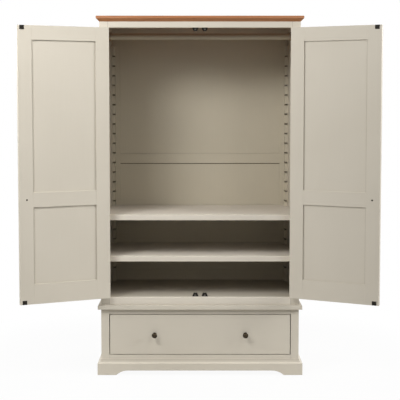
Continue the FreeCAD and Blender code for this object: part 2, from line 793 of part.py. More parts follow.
def arch(body, name, plane, start, stop):
    """Cuts the arch between two feet; each foot sweeps up to it in one curve."""
    corners = [(start, "0"), (f"{start} + arch_sweep", "arch_height"),
               (f"{stop} - arch_sweep", "arch_height"), (stop, "0")]
    sketch = outline(body, name, plane, corners, {0: ("plumb", 1), 2: ("plumb", 0)})
    pocket_through(body, sketch)


def plinth():
    """Boards round the foot of the base, mitred in front, with bracket feet and arches between."""
    outer = "half_width + plinth_thickness"
    outer_y = "front - plinth_thickness"
    body = new_body("plinth_front")
    plan = [(f"-({outer})", outer_y), (outer, outer_y), ("half_width", "front"), ("-half_width", "front")]
    pad(body, outline(body, "plinth_front_plan", "XY_Plane", plan), "plinth_height")
    arch(body, "plinth_front_arch", "XZ_Plane", f"-({outer}) + foot_width", f"{outer} - foot_width")
    node(body, "plinth_front")

    ends = []
    for side, hand in (("left", -1), ("right", 1)):
        body = new_body(f"plinth_{side}")
        plan = [(f"{hand} * ({outer})", outer_y), (f"{hand} * ({outer})", "0"),
                (f"{hand} * half_width", "0"), (f"{hand} * half_width", "front")]
        pad(body, outline(body, f"plinth_{side}_plan", "XY_Plane", plan), "plinth_height")
        arch(body, f"plinth_{side}_arch", "YZ_Plane", f"{outer_y} + foot_width", "-foot_width")
        ends.append(body)
    node(group("plinth_ends", *ends), "plinth_ends")

    node(board("plinth_back", ("-inner_half", "inner_half"), ("-plinth_thickness", "0"), ("0", "sill_z")),
         "plinth_back")
    blocks = []
    for side, hand in (("left", -1), ("right", 1)):
        for place, y in (("front", "front"), ("rear", "-plinth_thickness - foot_block_width")):
            blocks.append(board(f"{place}_{side}_block", ("half_width - foot_block_width", "half_width"),
                                (y, f"{y} + foot_block_width"), ("0", "foot_block_height"), hand))
    node(group("corner_blocks", *blocks), "corner_blocks")
    mitred_moulding("plinth_cove", HOLLOW, "plinth_height", "plinth_thickness", "cove_nose", "cove_land",
                    "cove_height")


# Drawer

def dovetail(name, number, hand, slack):
    """One tail of a drawer side, wider at its end; slack makes the socket that it fits."""
    part = doc.addObject("Part::Wedge", name)
    middle = f"drawer_side_z + ({number} + 0.5) * tail_pitch"
    wide = f"(tail_pitch - tail_gap) / 2 + {slack}"
    narrow = f"{wide} - tail_flare"
    x = ("drawer_inner_half", "drawer_half") if hand > 0 else ("-drawer_half", "-drawer_inner_half")
    low_x, high_x = (x[0], f"{x[1]} + {slack}") if hand > 0 else (f"{x[0]} - {slack}", x[1])
    limits = {"Xmin": low_x, "Xmax": high_x, "X2min": low_x, "X2max": high_x,
              "Ymin": f"drawer_inside - tail_length - {slack}", "Ymax": "drawer_inside",
              "Zmin": f"{middle} - ({wide})", "Zmax": f"{middle} + {wide}",
              "Z2min": f"{middle} - ({narrow})", "Z2max": f"{middle} + {narrow}"}
    for prop, text in limits.items():
        bind(part, prop, text)
    return part


def drawer():
    sides = []
    sockets = []
    bottom_top = "drawer_bottom_z + drawer_bottom_thickness"
    slot_z = ("drawer_bottom_z - joint_clearance", f"{bottom_top} + joint_clearance")
    hold = "drawer_groove_depth - joint_clearance"
    back_rear = "drawer_back_y + drawer_back_thickness"
    for side, hand in (("left", -1), ("right", 1)):
        plank = board(f"drawer_{side}_plank", ("drawer_inner_half", "drawer_half"),
                      ("drawer_inside", "drawer_end"), ("drawer_side_z", "drawer_side_top"), hand)
        tails = [dovetail(f"drawer_{side}_tail_{number}", number, hand, "0") for number in range(TAILS)]
        inside = ("drawer_inner_half", "drawer_inner_half + drawer_groove_depth")
        groove = board(f"drawer_{side}_groove", inside, ("drawer_inside - tail_length", "drawer_end"),
                       slot_z, hand)
        housing = board(f"drawer_{side}_housing", inside,
                        ("drawer_back_y - joint_clearance", f"{back_rear} + joint_clearance"),
                        ("drawer_bottom_z", "drawer_side_top"), hand)
        whole = fuse(f"drawer_{side}_whole", plank, *tails)
        sides.append(cut(f"drawer_{side}_side", whole, groove, housing))
        sockets += [dovetail(f"drawer_{side}_socket_{number}", number, hand, "joint_clearance")
                    for number in range(TAILS)]
    node(group("drawer_sides", *sides), "drawer_sides")

    blank = board("drawer_front_blank", ("-drawer_half", "drawer_half"), ("front", "drawer_inside"),
                  ("drawer_z", "drawer_top"))
    reach = "drawer_inner_half + drawer_groove_depth"
    groove = board("drawer_front_groove", (f"-({reach})", reach),
                   ("drawer_inside - drawer_groove_depth", "drawer_inside"), slot_z)
    node(cut("drawer_front", blank, groove, *sockets), "drawer_front")

    back_x = f"drawer_inner_half + {hold}"
    node(board("drawer_back", (f"-({back_x})", back_x), ("drawer_back_y", back_rear),
               (f"{bottom_top} + joint_clearance", "drawer_side_top - drawer_back_drop")), "drawer_back")
    node(board("drawer_bottom", (f"-({back_x})", back_x), (f"drawer_inside - ({hold})", "drawer_end"),
               ("drawer_bottom_z", bottom_top)), "drawer_bottom")

    knobs = [knob(f"drawer_{side}_knob", f"{hand} * drawer_knob_offset", "front", "knob_z")
             for side, hand in (("left", -1), ("right", 1))]
    node(group("drawer_knobs", *knobs), "drawer_knobs")


def drawer_runners():
    """An L-shaped runner under each drawer side, with a guide beside it, and a kicker above."""
    runners = []
    kickers = []
    ledge = "inner_half - runner_ledge - (inner_half - drawer_half)"
    guide = "drawer_half + guide_gap"
    top = "runner_z + guide_height"
    foot = "runner_z - runner_thickness"
    for side, hand in (("left", -1), ("right", 1)):
        body = new_body(f"{side}_runner")
        profile = [(f"{hand} * ({x})", z) for x, z in
                   ((ledge, foot), ("inner_half", foot), ("inner_half", top), (guide, top),
                    (guide, "runner_z"), (ledge, "runner_z"))]
        section = outline(body, f"{side}_runner_section", "XZ_Plane", profile, lift="plinth_thickness")
        pad(body, section, "-runner_front - plinth_thickness")
        runners.append(body)
        kickers.append(board(f"{side}_kicker", ("inner_half - kicker_width", "inner_half"),
                             ("stile_back", "-base_back_thickness"),
                             ("drawer_side_top + kicker_gap", "waist_z"), hand))
    node(group("drawer_runners", *runners), "drawer_runners")
    node(group("drawer_kickers", *kickers), "drawer_kickers")


oak_top()
cupboard()
back()
notched_battens()
shelves()
hanging_rail()
catches()
frame_hinges()
base()
plinth()
drawer_runners()
door("left", 1, "-left_open_angle")
door("right", -1, "right_open_angle")
drawer()
doc.recompute()

for item in doc.Objects:
    if {"Invalid", "Error"} & set(item.State):
        raise RuntimeError(f"{item.Label} failed to compute")
for item in NODES:
    if item.Shape.isNull() or not item.Shape.isValid():
        raise RuntimeError(f"{item.Label} has no valid shape")

os.makedirs("parts", exist_ok=True)
for item in NODES:
    item.Shape.exportStep(f"parts/{item.Label}.step")
print(len(NODES), "nodes,", sum(len(item.Shape.Solids) for item in NODES), "solids")
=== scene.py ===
"""Looks of the double wardrobe: brushed satin paint, a waxed oak top and dark bronze knobs.

Metres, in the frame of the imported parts: +Z is up, +Y is towards the wall, and the origin lies on
the floor at the middle of the back.
"""
import json
import math

import bmesh
import bpy
from mathutils import Matrix, Vector

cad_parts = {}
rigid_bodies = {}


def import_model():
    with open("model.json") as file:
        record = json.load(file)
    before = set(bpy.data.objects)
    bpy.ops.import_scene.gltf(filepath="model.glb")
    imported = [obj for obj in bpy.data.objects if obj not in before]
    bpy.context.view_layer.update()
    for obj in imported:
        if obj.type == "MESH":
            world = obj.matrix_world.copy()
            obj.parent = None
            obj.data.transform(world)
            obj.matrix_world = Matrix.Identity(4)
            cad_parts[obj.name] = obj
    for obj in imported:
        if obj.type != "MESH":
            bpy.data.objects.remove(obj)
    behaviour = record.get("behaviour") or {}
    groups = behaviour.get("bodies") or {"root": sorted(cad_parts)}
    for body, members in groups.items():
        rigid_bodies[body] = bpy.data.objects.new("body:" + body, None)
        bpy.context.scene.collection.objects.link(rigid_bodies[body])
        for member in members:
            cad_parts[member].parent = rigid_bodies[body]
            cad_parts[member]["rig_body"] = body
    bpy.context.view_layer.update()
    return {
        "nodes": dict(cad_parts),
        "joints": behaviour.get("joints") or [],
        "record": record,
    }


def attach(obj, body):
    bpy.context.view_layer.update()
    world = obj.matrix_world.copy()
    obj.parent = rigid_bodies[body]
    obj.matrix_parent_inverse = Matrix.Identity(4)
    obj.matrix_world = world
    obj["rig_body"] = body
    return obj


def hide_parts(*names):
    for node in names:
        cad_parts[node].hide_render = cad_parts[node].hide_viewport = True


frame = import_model()

# Limits for the meshes
WELD = 0.00001
FLAT = math.radians(0.5)
CORNER = math.radians(28)
CREASE = math.radians(50)
ROOM = 2.2
ARRIS_SEGMENTS = 2
KNOB_STEPS = 40
SCREW_STEPS = 24
SIDES = (-1, 1)

# Faces of the wardrobe that the fittings sit on
CARCASS_HALF = 0.540
CARCASS_FRONT = -0.560
STILE_EDGE = 0.496
DOOR_INSIDE = 0.0265
DOOR_OUTSIDE = 0.0045
DOOR_EDGE = 0.00075
HINGE_LEVELS = (1.825, 0.965, 0.489)
KNOB_ACROSS = 0.45275
KNOB_LEVEL = 0.980
STRIKE_ACROSS = 0.46975
STRIKE_LEVELS = (1.875, 0.439)
STRIKE_FACE = 0.0275
DRAWER_KNOB_ACROSS = 0.248
DRAWER_KNOB_LEVEL = 0.2205
DRAWER_FRONT_BACK = -0.538
CATCH_ACROSS = 0.0255
CATCH_SCREW_Y = -0.512
CATCH_CROWNS = ((0.442, 1), (1.872, -1))

# Colours, linear
STONE = (0.586, 0.540, 0.457)
STONE_DEEP = (0.556, 0.510, 0.427)
STONE_RUBBED = (0.660, 0.614, 0.535)
# Painted shade: a darker, yellower copy of the paint for the inside of the cupboard
INSIDE_SHADE = (0.564, 0.513, 0.406)
INSIDE_SHADE_DEEP = (0.534, 0.481, 0.378)
# Painted sheen: a lighter, greyer copy of the paint for the shelves
SHELF_SHEEN = (0.632, 0.582, 0.506)
SHELF_SHEEN_DEEP = (0.604, 0.554, 0.480)
# Painted light: a lighter copy of the paint for the shelf lippings and the bottom front rail
FRONT_EDGE_LIT = (0.688, 0.634, 0.545)
FRONT_EDGE_LIT_DEEP = (0.660, 0.606, 0.518)
# The dark colour that painted shade and the cracked seams darken the paint towards
SHADED_TIMBER = (0.085, 0.062, 0.036)
OAK_DARK = (0.238, 0.087, 0.031)
OAK_MID = (0.388, 0.157, 0.058)
OAK_PALE = (0.486, 0.222, 0.095)
TIMBER_DARK = (0.400, 0.262, 0.150)
TIMBER_PALE = (0.610, 0.440, 0.275)
BRONZE_DARK = (0.016, 0.011, 0.006)
BRONZE_RUBBED = (0.062, 0.047, 0.028)
BRASS = (0.360, 0.250, 0.120)
BRASS_TARNISHED = (0.165, 0.115, 0.062)
BLACK = (0.011, 0.009, 0.007)
BLACK_CHIPPED = (0.024, 0.020, 0.015)
CATCH_BROWN = (0.011, 0.009, 0.007)
CATCH_DUSTY = (0.020, 0.017, 0.013)
STEEL = (0.200, 0.188, 0.170)
STEEL_DULL = (0.110, 0.103, 0.094)
STEEL_POLISHED = (0.640, 0.620, 0.580)


class Wire:
    """A value in a finish; sums of wires add the Math nodes that work them out."""

    def __init__(self, finish, socket):
        self.finish = finish
        self.socket = socket

    def work(self, operation, *values):
        return self.finish.add("ShaderNodeMath", {"operation": operation}, dict(enumerate(values)))

    def __add__(self, other):
        return self.work("ADD", self, other)

    __radd__ = __add__

    def __sub__(self, other):
        return self.work("SUBTRACT", self, other)

    def __rsub__(self, other):
        return self.work("SUBTRACT", other, self)

    def __mul__(self, other):
        return self.work("MULTIPLY", self, other)

    __rmul__ = __mul__

    def floor(self):
        return self.work("FLOOR", self)

    def length_with(self, other):
        return self.work("SQRT", self * self + other * other)


class Finish:
    """A material that is put together node by node."""

    def __init__(self, name, tree=None):
        if tree is None:
            self.material = bpy.data.materials.new(name)
            self.material.use_nodes = True
            tree = self.material.node_tree
        self.tree = tree
        self.tree.nodes.clear()

    def add(self, kind, settings=None, sockets=None, out=0):
        made = self.tree.nodes.new(kind)
        for name, value in (settings or {}).items():
            if name == "stops":
                self.set_stops(made.color_ramp, value)
            else:
                setattr(made, name, value)
        for name, value in (sockets or {}).items():
            self.feed(made.inputs[name], value)
        return Wire(self, made.outputs[out]) if made.outputs else None

    def feed(self, socket, value):
        if isinstance(value, Wire):
            self.tree.links.new(value.socket, socket)
        elif socket.type == "RGBA":
            socket.default_value = (*value, 1.0)
        else:
            socket.default_value = value

    @staticmethod
    def set_stops(ramp, stops):
        while len(ramp.elements) < len(stops):
            ramp.elements.new(1.0)
        for element, (place, colour) in zip(ramp.elements, stops):
            element.position = place
            element.color = (*colour, 1.0)

    def spot(self, pin=None, turn=0.0):
        """Where a point is on the piece; a door's own place is counted from its pin."""
        place = self.add("ShaderNodeTexCoord", out=3)
        if pin is None:
            return place
        return self.add("ShaderNodeMapping", {"vector_type": "TEXTURE"},
                        {"Vector": place, "Location": pin, "Rotation": (0.0, 0.0, turn)})

    def split(self, vector):
        parts = self.add("ShaderNodeSeparateXYZ", {}, {0: vector}).socket.node.outputs
        return [Wire(self, part) for part in parts]

    def join(self, x, y, z):
        return self.add("ShaderNodeCombineXYZ", {}, {0: x, 1: y, 2: z})

    def stretch(self, vector, scale):
        return self.add("ShaderNodeVectorMath", {"operation": "MULTIPLY"}, {0: vector, 1: scale})

    def noise(self, vector, scale, detail=2.0, rough=0.5):
        return self.add("ShaderNodeTexNoise", {}, {
            "Vector": self.stretch(vector, scale), "Scale": 1.0, "Detail": detail, "Roughness": rough})

    def spread(self, value, low, high):
        """A value drawn out smoothly, from 0 at the low end to 1 at the high one."""
        return self.add("ShaderNodeMapRange", {"interpolation_type": "SMOOTHSTEP"}, {
            "Value": value, "From Min": low, "From Max": high, "To Min": 0.0, "To Max": 1.0})

    def ramp(self, value, *stops):
        return self.add("ShaderNodeValToRGB", {"stops": stops}, {"Fac": value})

    def mix(self, share, first, second):
        return self.add("ShaderNodeMix", {"data_type": "RGBA"}, {0: share, 6: first, 7: second}, out=2)

    def mark(self, name):
        """How far a face or point carries a mark that was set when its mesh was made."""
        return self.add("ShaderNodeAttribute", {"attribute_name": name}, out=2)

    def surface(self, colour, roughness, height, relief, **constant):
        normal = self.add("ShaderNodeBump", {}, {"Height": height, "Strength": 1.0, "Distance": relief})
        sockets = {"Base Color": colour, "Roughness": roughness, "Normal": normal}
        sockets.update({name.replace("_", " "): value for name, value in constant.items()})
        shader = self.add("ShaderNodeBsdfPrincipled", {}, sockets)
        self.add("ShaderNodeOutputMaterial", {}, {"Surface": shader})
        return self.material


# Finishes

def along(run, long, short):
    """The scale of a pattern that is drawn out along one axis."""
    return tuple(long if axis == run else short for axis in "xyz")


def satin_paint(name, run, pin=None, turn=0.0, deep=STONE_DEEP, pale=STONE):
    """Stone-coloured paint, laid off with a brush along the piece and rubbed at the arrises."""
    paint = Finish(name)
    spot = paint.spot(pin, turn)
    strokes = paint.noise(spot, along(run, 7.0, 420.0), detail=4.0, rough=0.6)
    drift = paint.noise(spot, (2.1, 2.1, 2.1), detail=3.0)
    scuffs = paint.noise(spot, (48.0, 48.0, 48.0), detail=5.0, rough=0.65)
    rubbed = paint.mark("arris") * paint.spread(scuffs, 0.42, 0.66)
    # This mark darkens the paint: painted shade on most faces, and cracked paint at the seams
    bare = paint.mark("bare")
    tone = paint.ramp(drift * 0.7 + strokes * 0.3, (0.32, deep), (0.66, pale))
    colour = paint.mix(bare, paint.mix(rubbed * 0.12, tone, STONE_RUBBED), SHADED_TIMBER)
    roughness = 0.40 + strokes * 0.16 + scuffs * 0.06 - rubbed * 0.08
    height = strokes + scuffs * 0.25
    return paint.surface(colour, roughness, height, 0.00012, Specular_IOR_Level=0.22)


def waxed_oak(name):
    """Oak staves glued side by side, with growth rings, open pores and a waxed face."""
    stave_width = 0.0962
    slip_along, slip_across = 3.71, 1.37
    heart_level = 1.905
    oak = Finish(name)
    spot = oak.spot()
    x, y, z = oak.split(spot)
    places = y * (1.0 / stave_width)
    stave = places.floor()
    across = (places - stave - 0.5) * stave_width
    grain = oak.join(x + stave * slip_along, across + stave * slip_across, z)
    wander = oak.noise(grain, (1.6, 5.0, 5.0), detail=3.0)
    depth = z - heart_level + wander * 0.052
    from_heart = across.length_with(depth) + wander * 0.02
    bands = {"wave_type": "BANDS", "bands_direction": "X", "wave_profile": "SIN"}
    rings = oak.add("ShaderNodeTexWave", bands, {
        "Vector": oak.join(from_heart, 0.0, 0.0), "Scale": 46.0, "Distortion": 0.0})
    figure = oak.noise(grain, (5.0, 110.0, 110.0), detail=5.0, rough=0.62)
    pores = oak.spread(oak.noise(grain, (26.0, 1300.0, 1300.0), detail=1.0), 0.60, 0.70)
    shade = oak.add("ShaderNodeTexWhiteNoise", {"noise_dimensions": "1D"}, {"W": stave})
    light = figure * 0.62 + rings * 0.24 + shade * 0.20 - 0.02
    tone = oak.ramp(light, (0.22, OAK_DARK), (0.48, OAK_MID), (0.80, OAK_PALE))
    colour = oak.mix(pores * 0.55, tone, OAK_DARK)
    joint = oak.spread(across.work("ABSOLUTE", across), stave_width * 0.488, stave_width * 0.497)
    colour = oak.mix(joint * 0.35, colour, OAK_DARK)
    colour = oak.mix(oak.mark("arris") * 0.35, colour, OAK_PALE)
    roughness = 0.34 + figure * 0.14 + pores * 0.15
    return oak.surface(colour, roughness, figure * 0.5 - pores - joint, 0.00012, Specular_IOR_Level=0.35)


def bare_timber(name, run):
    """Planed pale timber, left unpainted inside the drawer and behind the base."""
    timber = Finish(name)
    spot = timber.spot()
    wander = timber.noise(spot, along(run, 1.3, 7.0), detail=2.0)
    figure = timber.noise(spot, along(run, 4.0, 95.0), detail=5.0, rough=0.6)
    fibres = timber.noise(spot, along(run, 30.0, 1200.0), detail=1.0)
    light = figure * 0.6 + wander * 0.3 + fibres * 0.1
    tone = timber.ramp(light, (0.30, TIMBER_DARK), (0.62, TIMBER_PALE))
    colour = timber.mix(timber.mark("arris") * 0.3, tone, TIMBER_PALE)
    return timber.surface(colour, 0.58 + fibres * 0.2, figure + fibres * 0.5, 0.00010)


def dark_bronze(name):
    """Patinated bronze that hands have rubbed brighter on the crown."""
    bronze = Finish(name)
    spot = bronze.spot()
    patina = bronze.noise(spot, (210.0, 210.0, 210.0), detail=5.0, rough=0.65)
    pits = bronze.noise(spot, (1500.0, 1500.0, 1500.0), detail=2.0)
    rubbed = bronze.mark("rubbed") * bronze.spread(patina, 0.30, 0.62)
    colour = bronze.mix(rubbed * 0.8, BRONZE_DARK, BRONZE_RUBBED)
    roughness = 0.24 + patina * 0.12 - rubbed * 0.10
    return bronze.surface(colour, roughness, patina + pits * 0.3, 0.00008, Metallic=0.9)


def aged_metal(name, bright, dull, metallic, roughness, run="z"):
    """Plain metal with fine brush lines and duller patches."""
    metal = Finish(name)
    spot = metal.spot()
    lines = metal.noise(spot, along(run, 60.0, 2600.0), detail=2.0)
    patches = metal.noise(spot, (130.0, 130.0, 130.0), detail=5.0, rough=0.6)
    colour = metal.mix(metal.spread(patches, 0.36, 0.64), bright, dull)
    gloss = roughness + patches * 0.16 + lines * 0.10
    height = lines + patches * 0.5
    return metal.surface(colour, gloss, height, 0.00004, Metallic=metallic, Specular_IOR_Level=0.12)


def dark_moulding(name):
    """Moulded brown plastic with a fine spark-eroded grain and a little dust on it."""
    plastic = Finish(name)
    spot = plastic.spot()
    grain = plastic.noise(spot, (2400.0, 2400.0, 2400.0), detail=2.0)
    dust = plastic.noise(spot, (90.0, 90.0, 90.0), detail=5.0, rough=0.7)
    colour = plastic.mix(plastic.spread(dust, 0.46, 0.72), CATCH_BROWN, CATCH_DUSTY)
    return plastic.surface(colour, 0.46 + dust * 0.2, grain, 0.00005, Specular_IOR_Level=0.14)


# Meshes and pieces

def slot_of(node):
    """The material slot that the record gives a CAD piece."""
    return next(part["material_slot"] for part in frame["record"]["subparts"] if part["node"] == node)


def body_of(node):
    """The body that a CAD piece moves with."""
    return frame["nodes"][node]["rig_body"]


def add_piece(name, mesh, finish, body, slot, *stands_for):
    """Turns a bmesh into a finished piece that rides on a body and may stand for CAD pieces."""
    data = bpy.data.meshes.new(name)
    mesh.to_mesh(data)
    mesh.free()
    stale = data.attributes.get("custom_normal")
    if stale is not None:
        data.attributes.remove(stale)
    data.materials.append(finish)
    item = bpy.data.objects.new(name, data)
    bpy.context.scene.collection.objects.link(item)
    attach(item, body)
    if stands_for:
        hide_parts(*stands_for)
    return item


def shade_by_crease(mesh):
    """Smooth shading, apart from the edges that are creased."""
    for face in mesh.faces:
        face.smooth = True
    for edge in mesh.edges:
        edge.smooth = not edge.is_manifold or edge.calc_face_angle() < CREASE


def on_mitre(face):
    """Whether a face lies in the upright plane where a front length meets an end length."""
    side = math.copysign(1.0, face.verts[0].co.x)
    return all(abs((side * vert.co.x - CARCASS_HALF) - (CARCASS_FRONT - vert.co.y)) < WELD * 10
               for vert in face.verts)


def eased_copy(name, node_names, finish, ease, mitred=False, bare=None):
    """CAD pieces in one mesh, with the arrises that have room for it rounded over.

    The last argument holds the planes to part the faces at, and how far each face is darkened, by painted
    shade and, at the seams, by cracked paint.
    """
    mesh = bmesh.new()
    for node in node_names:
        mesh.from_mesh(frame["nodes"][node].data)
    if mitred:
        bmesh.ops.delete(mesh, geom=[face for face in mesh.faces if on_mitre(face)], context="FACES_ONLY")
    bmesh.ops.remove_doubles(mesh, verts=mesh.verts, dist=WELD)
    bmesh.ops.dissolve_limit(mesh, angle_limit=FLAT, verts=mesh.verts, edges=mesh.edges)
    mark = mesh.faces.layers.float.new("arris")
    darkened_layer = mesh.faces.layers.float.new("bare")
    room = {vert: min(edge.calc_length() for edge in vert.link_edges) for vert in mesh.verts}
    arrises = [edge for edge in mesh.edges
               if edge.is_manifold and edge.calc_face_angle_signed() > CORNER
               and min(room[vert] for vert in edge.verts) > ROOM * ease]
    rounded = bmesh.ops.bevel(mesh, geom=arrises, offset=ease, offset_type="OFFSET", profile=0.5,
                              segments=ARRIS_SEGMENTS, affect="EDGES", clamp_overlap=True, material=-1)
    for face in rounded["faces"]:
        face[mark] = 1.0
    if bare is not None:
        planes, how_dark = bare
        for point, normal in planes:
            bmesh.ops.bisect_plane(mesh, geom=mesh.verts[:] + mesh.edges[:] + mesh.faces[:], plane_co=point,
                                   plane_no=normal)
        for face in mesh.faces:
            face[darkened_layer] = how_dark(face.calc_center_median(), face.normal)
    shade_by_crease(mesh)
    first = node_names[0]
    item = add_piece(name, mesh, finish, body_of(first), slot_of(first), *node_names)
    item.modifiers.new("even_shading", "WEIGHTED_NORMAL").keep_sharp = True


def gather(parts):
    """Several meshes in one."""
    whole = bmesh.new()
    for part in parts:
        data = bpy.data.meshes.new("part")
        part.to_mesh(data)
        part.free()
        whole.from_mesh(data)
        bpy.data.meshes.remove(data)
    return whole


def stand(point, axis):
    """The place of something made on the ground, set on a face at a point and pointing out along an axis."""
    turn = Vector(axis).to_track_quat("Z", "Y").to_matrix().to_4x4()
    return Matrix.Translation(Vector(point)) @ turn


def turned(profile, steps):
    """A turned shape from half its outline, as radius and height in millimetres."""
    mesh = bmesh.new()
    points = [mesh.verts.new((radius / 1000, 0.0, height / 1000)) for radius, height in profile]
    lines = [mesh.edges.new(pair) for pair in zip(points, points[1:])]
    bmesh.ops.spin(mesh, geom=points + lines, cent=(0, 0, 0), axis=(0, 0, 1), angle=2 * math.pi, steps=steps,
                   use_merge=True)
    bmesh.ops.remove_doubles(mesh, verts=mesh.verts, dist=WELD)
    bmesh.ops.recalc_face_normals(mesh, faces=mesh.faces)
    return mesh


KNOB_OUTLINE = (
    (0.0, 0.0), (11.4, 0.0), (11.7, 1.0), (11.1, 2.2), (9.0, 3.2), (7.3, 5.2), (6.4, 9.0), (6.2, 14.0),
    (6.4, 18.0), (7.4, 21.5), (9.6, 24.0), (12.4, 25.7), (14.2, 26.8), (14.95, 28.0), (14.6, 29.2),
    (13.9, 30.3), (12.9, 31.6), (11.6, 33.1), (9.9, 34.6), (7.7, 36.0), (5.0, 37.2), (2.5, 37.8), (0.0, 38.0))
KNOB_NECK = 0.022
KNOB_LENGTH = 0.038


def knob(place):
    """A turned knob, marked where hands rub its crown."""
    mesh = turned(KNOB_OUTLINE, KNOB_STEPS)
    mark = mesh.verts.layers.float.new("rubbed")
    for vert in mesh.verts:
        vert[mark] = min(1.0, max(0.0, (vert.co.z - KNOB_NECK) / (KNOB_LENGTH - KNOB_NECK)))
    for face in mesh.faces:
        face.smooth = True
    mesh.transform(place)
    return mesh


def slotted_head(place, radius, height, crown):
    """A screw's head with a slot across it: two halves of a low dome over a round floor.

    The radius, the height and the crown's rise are in millimetres.
    """
    slot = radius * 0.16
    dome = ((0.0, height), (radius * 0.45, height - crown * 0.2), (radius * 0.8, height - crown * 0.62),
            (radius, height - crown), (radius, 0.0), (0.0, 0.0))
    mesh = turned(dome, SCREW_STEPS)
    everything = mesh.verts[:] + mesh.edges[:] + mesh.faces[:]
    bmesh.ops.bisect_plane(mesh, geom=everything, plane_co=(slot / 1000, 0, 0), plane_no=(1, 0, 0),
                           clear_inner=True)
    bmesh.ops.holes_fill(mesh, edges=[edge for edge in mesh.edges if edge.is_boundary])
    bmesh.ops.mirror(mesh, geom=mesh.verts[:] + mesh.edges[:] + mesh.faces[:], matrix=Matrix.Identity(4),
                     merge_dist=-1.0, axis="X")
    floor = bmesh.ops.create_circle(mesh, cap_ends=True, radius=radius * 0.98 / 1000, segments=SCREW_STEPS)
    bmesh.ops.translate(mesh, verts=floor["verts"], vec=(0, 0, height * 0.3 / 1000))
    bmesh.ops.recalc_face_normals(mesh, faces=mesh.faces)
    shade_by_crease(mesh)
    mesh.transform(place)
    return mesh


# Doors, counted from their pins

class Door:
    """A door as it stands open; hand is 1 where it runs to the right of its pin when shut."""

    def __init__(self, side, hand):
        joint = next(joint for joint in frame["joints"] if joint["name"] == f"{side}_door_hinge")
        self.side = side
        self.hand = hand
        self.body = f"{side}_door"
        self.pin = tuple(joint["pos_m"])
        self.turn = math.radians(-joint["axis"][2] * joint["range_deg"][0])
        self.place = Matrix.Translation((self.pin[0], self.pin[1], 0.0)) @ Matrix.Rotation(self.turn, 4, "Z")

    def on(self, across, depth, level, axis):
        """The place of a fitting on the door, pointing out along one of the door's own axes."""
        return self.place @ stand((self.hand * across, depth, level), axis)


doors = (Door("left", 1), Door("right", -1))

# Painted joinery
paint = {run: satin_paint(f"satin_paint_{run}", run) for run in "xyz"}
# Painted shade: the back, the battens and the hanging rail get the darker, yellower inside paint
inside = {run: satin_paint(f"shaded_inside_paint_{run}", run, deep=INSIDE_SHADE_DEEP, pale=INSIDE_SHADE) for run in "xz"}
# Painted sheen on the shelves
shelf_sheen = satin_paint("shelf_sheen_paint", "x", deep=SHELF_SHEEN_DEEP, pale=SHELF_SHEEN)
# Painted light on the shelf lippings and the bottom front rail
lit_front_edge = satin_paint("lit_front_edge_paint", "x", deep=FRONT_EDGE_LIT_DEEP, pale=FRONT_EDGE_LIT)
PAINTED = {
    "x": ("front_top_rail", "front_bottom_rail", "cabinet_floor", "back_rails", "upper_shelf", "lower_shelf",
          "shelf_lippings", "base_top_board", "base_top_rail", "base_bottom_rail", "drawer_front",
          "waist_moulding", "plinth_cove", "hanging_rail"),
    "y": ("shelf_bars", "base_sides"),
    "z": ("left_side_panel", "right_side_panel", "left_front_stile", "right_front_stile", "back_stiles",
          "back_upper_panel", "back_lower_panel", "notched_battens", "base_stiles"),
}
EASE = {"drawer_front": 0.0012, "shelf_lippings": 0.0015, "waist_moulding": 0.0012, "plinth_cove": 0.0010,
        "notched_battens": 0.0008, "base_stiles": 0.0008}
PLAIN_EASE = 0.0006
PLINTH_EASE = 0.0015
DOOR_EASE = 0.0005
MITRED = ("waist_moulding", "plinth_cove")
BATTEN_FACE = 0.501
BATTEN_BACK = 0.520
BATTEN_ENDS = (0.426, 1.815)
BACK_RAIL_LOW = 1.126
BACK_RAIL_HIGH = 1.182
SHADOW_GAP = 0.0045
SEAM = 0.0025
DRAWER_OPENING = 0.496
DOOR_PANEL_END = 0.41875
# Width of the painted shadow line along the door panels' meeting edge
PANEL_SHADOW_WIDTH = 0.0034

# How far some faces are darkened, from 0 to 1: all painted shade, apart from the seams, where the paint has
# cracked
NOTCH_SHADE = 0.42
BEHIND_BATTEN_SHADE = 0.68
UNDER_RAIL_SHADOW = 0.85
OVER_RAIL_SHADE = 0.12
SEAM_BARE = 0.40
DRAWER_GAP_SHADE = 0.95
INNER_FACE_SHADE = 0.12
HOLLOW_SHADE = 0.22
LEDGE_SHADE = 0.28
PANEL_EDGE_SHADOW_SHARE = 0.30

# Which faces these places take in
FACING = 0.5
HOLLOW_SLOPES = (0.1, 0.75)
LEDGE_SLOPE = 0.6
INWARD = -0.1
FACE_MARGIN = 0.001
NOTCH_MARGIN = 0.01


def shade_in_notch(middle, normal):
    """Painted shade in the notches."""
    across = BATTEN_FACE + FACE_MARGIN < abs(middle.x) < BATTEN_BACK - FACE_MARGIN
    level = BATTEN_ENDS[0] + NOTCH_MARGIN < middle.z < BATTEN_ENDS[1] - NOTCH_MARGIN
    return NOTCH_SHADE * (across and level and abs(normal.y) < FACING)


def shade_behind_batten(middle, normal):
    """Painted shade on the back frame behind the battens, which shows through the notches."""
    hidden = abs(middle.x) > BATTEN_FACE and middle.z < BATTEN_ENDS[1]
    return BEHIND_BATTEN_SHADE * (hidden and normal.y < -FACING)


def shadow_under_rail(middle, normal):
    """Painted shadow on a strip of the panel under the middle back rail."""
    return UNDER_RAIL_SHADOW * (normal.y < -FACING and middle.z > BACK_RAIL_LOW - SHADOW_GAP)


def shade_over_rail(middle, normal):
    """Light painted shade on the strip of the panel over the same rail."""
    return OVER_RAIL_SHADE * (normal.y < -FACING and middle.z < BACK_RAIL_HIGH + SHADOW_GAP)


def beside_stile(middle, normal):
    """The paint has cracked a little where a rail meets a stile."""
    return SEAM_BARE * (normal.y < -FACING and abs(middle.x) > STILE_EDGE - SEAM)


